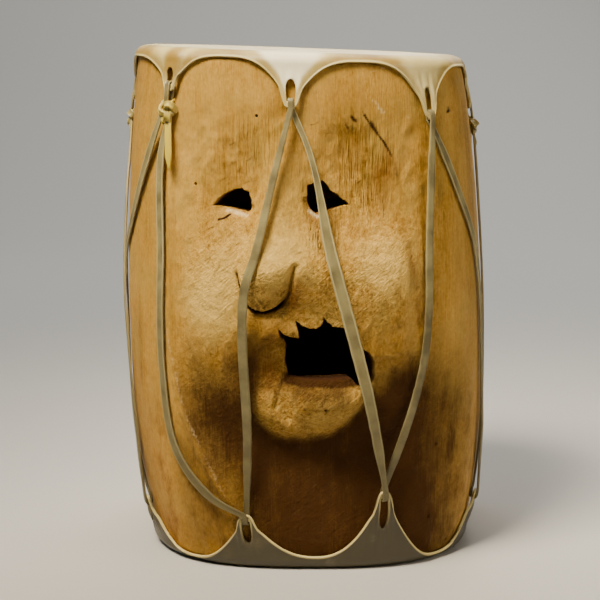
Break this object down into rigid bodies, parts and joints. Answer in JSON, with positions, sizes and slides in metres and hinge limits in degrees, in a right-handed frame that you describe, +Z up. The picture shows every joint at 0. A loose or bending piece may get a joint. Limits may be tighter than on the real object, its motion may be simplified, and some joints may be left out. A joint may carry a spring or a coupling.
{
  "type": "carved face drum",
  "caption": "Ceremonial drum: a hollowed log with a face carved in its side, a rawhide head on each end and a rawhide thong laced between them.",
  "frame": {"origin": "the middle of the flat underside of the bottom head, on the floor", "axes": "+Z up along the log, the carved face looks along -Y, +X is to the viewer's right"},
  "size_m": [0.295, 0.3074, 0.4043],
  "materials": {
    "wood": "satin",
    "rawhide": "satin",
    "lace": "satin"
  },
  "bodies": {
    "root": {"drum_body": "wood", "head_top": "rawhide", "head_bottom": "rawhide", "lace_front": "lace", "lace_back": "lace", "lace_side": "lace"}
  },
  "joints": []
}
